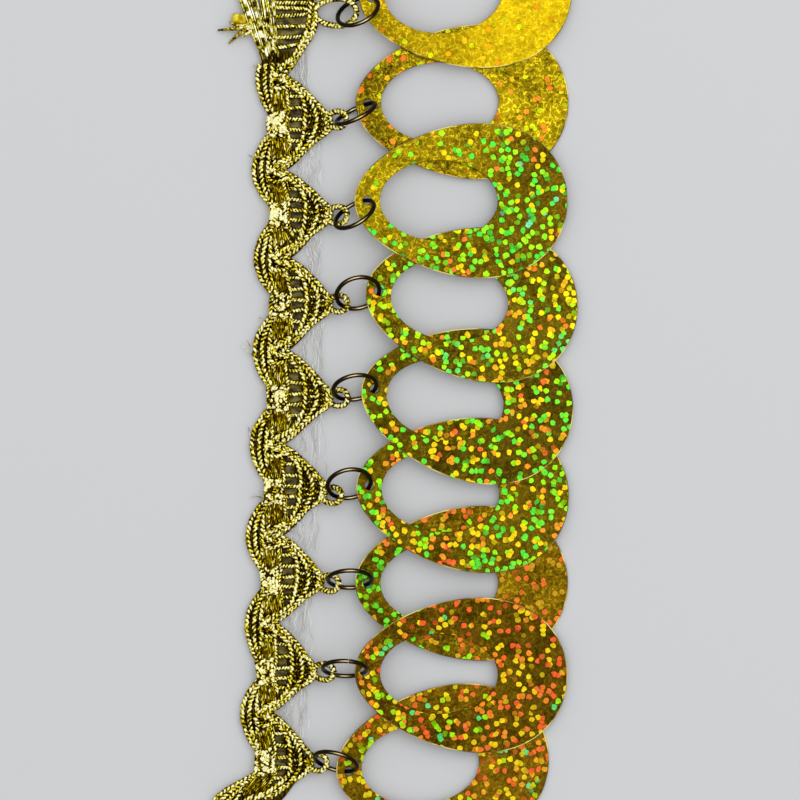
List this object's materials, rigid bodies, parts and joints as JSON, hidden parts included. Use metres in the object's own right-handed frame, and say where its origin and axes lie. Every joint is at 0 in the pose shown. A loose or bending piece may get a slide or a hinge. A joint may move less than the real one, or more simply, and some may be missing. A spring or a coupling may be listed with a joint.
{
  "type": "metallic gimp braid with hanging paillettes",
  "caption": "Scalloped gold gimp braid trimming whose edge has cord picot loops, each carrying a jump ring and a large egg-shaped paillette, lying flat.",
  "frame": {"origin": "on the braid's flat back, under its middle band and half way along its length", "axes": "+X from the braid to the paillettes' free ends, +Y along the braid towards its frayed end, +Z from the flat back to the face"},
  "size_m": [0.0613, 0.1541, 0.0081],
  "materials": {
    "gimp_cord": "metallised gold thread wound on cord",
    "holographic_film": "gold metallised film with holographic dots",
    "ring_wire": "antiqued dark brass"
  },
  "bodies": {
    "root": {"braid": "gimp_cord", "frayed_end": "gimp_cord", "jump_ring_1": "ring_wire", "jump_ring_2": "ring_wire", "jump_ring_3": "ring_wire", "jump_ring_4": "ring_wire", "jump_ring_5": "ring_wire", "jump_ring_6": "ring_wire", "jump_ring_7": "ring_wire", "jump_ring_8": "ring_wire", "jump_ring_9": "ring_wire", "paillette_1": "holographic_film", "paillette_2": "holographic_film", "paillette_3": "holographic_film", "paillette_4": "holographic_film", "paillette_5": "holographic_film", "paillette_6": "holographic_film", "paillette_7": "holographic_film", "paillette_8": "holographic_film", "paillette_9": "holographic_film"}
  },
  "joints": []
}
